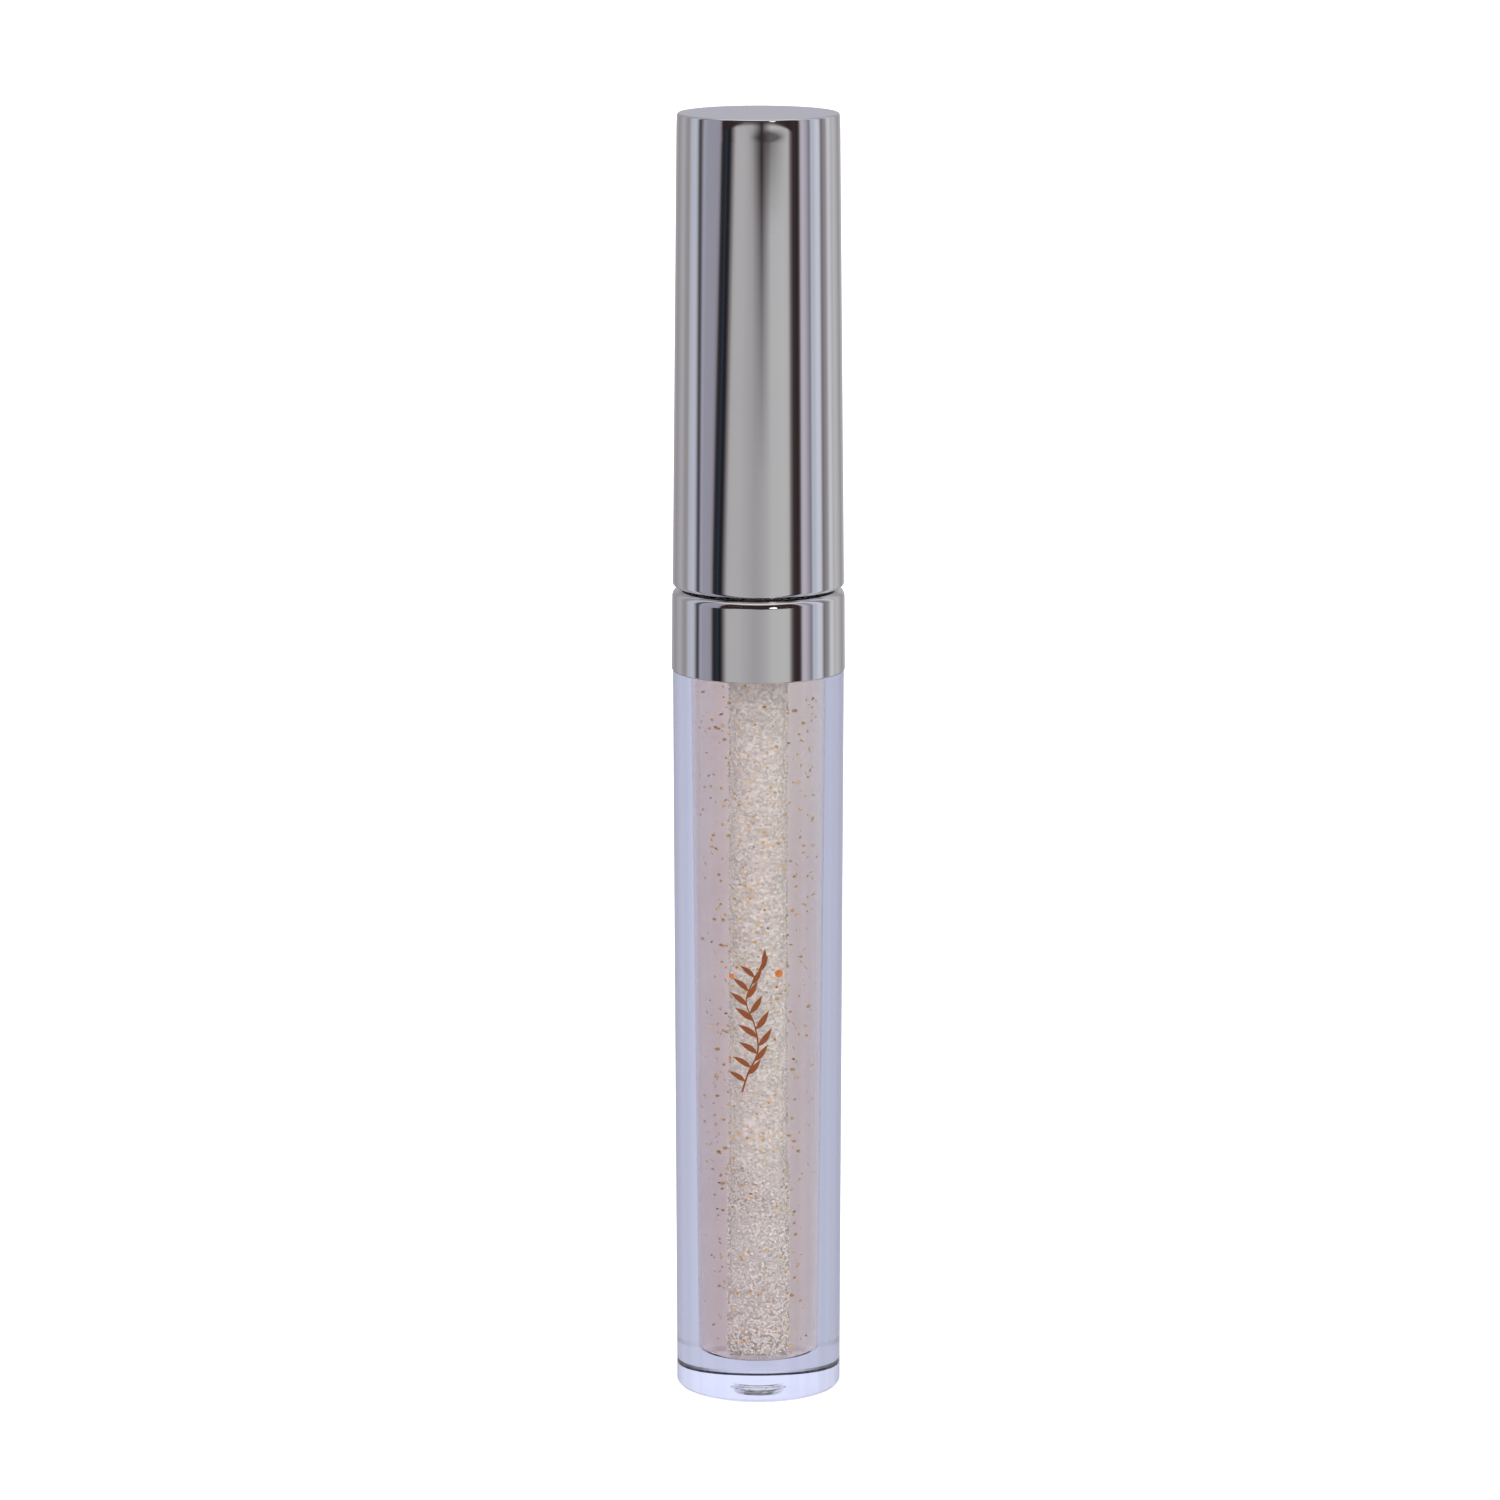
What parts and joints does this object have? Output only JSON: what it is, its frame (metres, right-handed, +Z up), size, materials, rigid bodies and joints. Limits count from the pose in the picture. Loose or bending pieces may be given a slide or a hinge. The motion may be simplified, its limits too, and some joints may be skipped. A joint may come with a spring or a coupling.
{
  "type": "lip gloss tube",
  "caption": "Slim round lip gloss tube: thick clear bottle of glitter gloss, metallised collar and screw cap that carries a wand with a soft slanted tip.",
  "frame": {"origin": "centre of the bottle's standing face, in its plane", "axes": "+Z up along the tube's axis towards the cap, -Y towards the viewer and the slanted face of the applicator"},
  "size_m": [0.0164, 0.0164, 0.1225],
  "materials": {
    "clear_petg": "gloss",
    "metallised_collar": "polished",
    "wiper_ldpe": "satin",
    "pearl_gloss": "gloss",
    "metallised_cap": "polished",
    "natural_pp": "satin",
    "gasket_foam": "matte",
    "white_pp": "satin",
    "core_elastomer": "matte",
    "nylon_flock": "matte"
  },
  "bodies": {
    "bottle_body": {"bottle": "clear_petg", "collar": "metallised_collar", "wiper": "wiper_ldpe", "gloss_fill": "pearl_gloss"},
    "gasket_body": {"cap_gasket": "gasket_foam"},
    "wand_body": {"wand_stem": "white_pp", "applicator_core": "core_elastomer", "applicator_flock": "nylon_flock"},
    "cap_body": {"cap_shell": "metallised_cap", "inner_cap": "natural_pp"}
  },
  "joints": [
    {"name": "cap_pull", "type": "slide", "parent": "bottle_body", "child": "gasket_body", "axis": [0, 0, 1], "range_m": [0, 0.09]},
    {"name": "cap_rise", "type": "slide", "parent": "gasket_body", "child": "wand_body", "axis": [0, 0, 1], "range_m": [0, 0.0046]},
    {"name": "cap_turn", "type": "hinge", "parent": "wand_body", "child": "cap_body", "pos_m": [0, 0, 0.0779], "axis": [0, 0, 1], "range_deg": [0, 540]}
  ],
  "couplings": [
    {"joint": "cap_rise", "follows": "cap_turn", "m_per_rad": 0.00047746}
  ]
}
